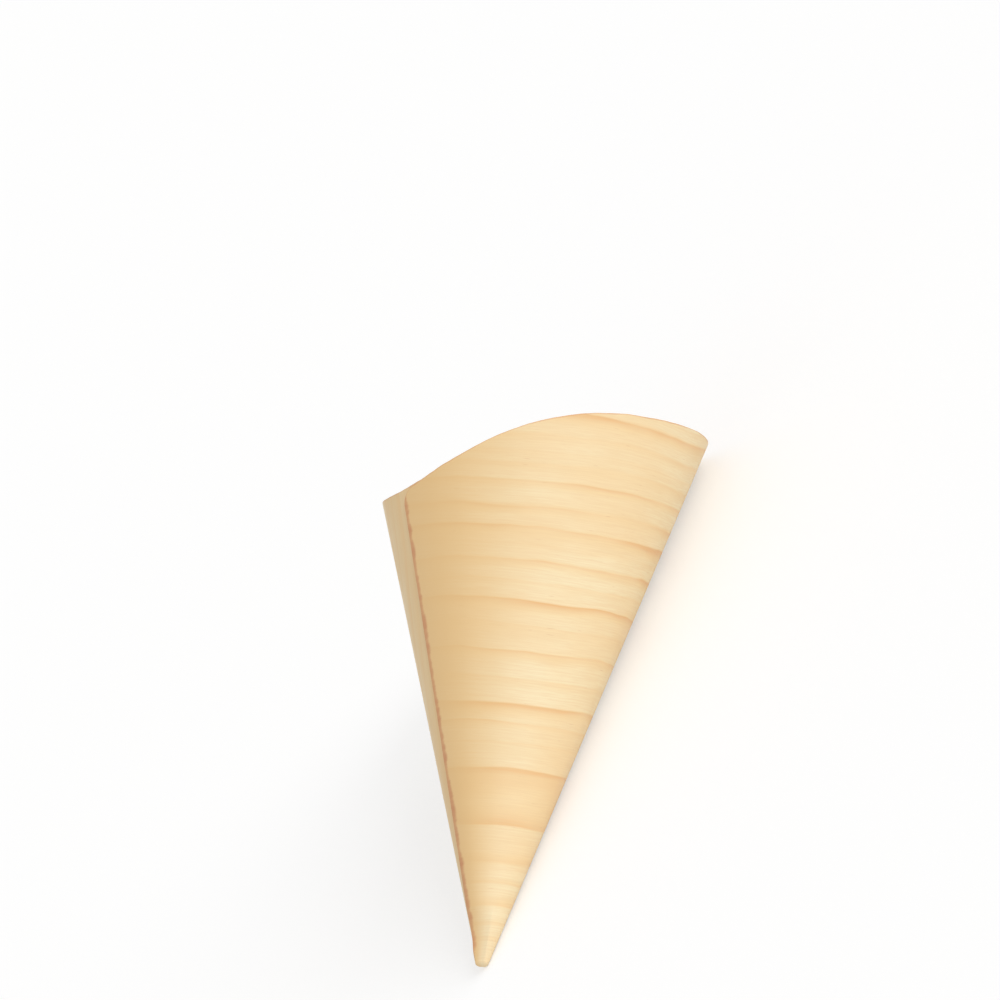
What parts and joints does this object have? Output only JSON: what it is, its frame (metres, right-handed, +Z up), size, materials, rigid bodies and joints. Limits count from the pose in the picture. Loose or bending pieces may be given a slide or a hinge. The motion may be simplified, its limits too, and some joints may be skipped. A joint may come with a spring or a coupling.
{
  "type": "wooden food cone",
  "caption": "Small serving cone rolled from one sheet of thin pale wood veneer, with a slanted open mouth, a blunt tip and a glued lap along its short side.",
  "frame": {"origin": "on the surface that the cone lies on, under the centre of its box", "axes": "+Y runs along the long side that it lies on, from the tip to the peak of the rim; +Z is up, towards the lap; +X is across the mouth, on the side where the lap is double"},
  "size_m": [0.0952, 0.1876, 0.0793],
  "materials": {
    "veneer": "planed, unvarnished, faint sheen"
  },
  "bodies": {
    "root": {"veneer_cone": "veneer"}
  },
  "joints": []
}
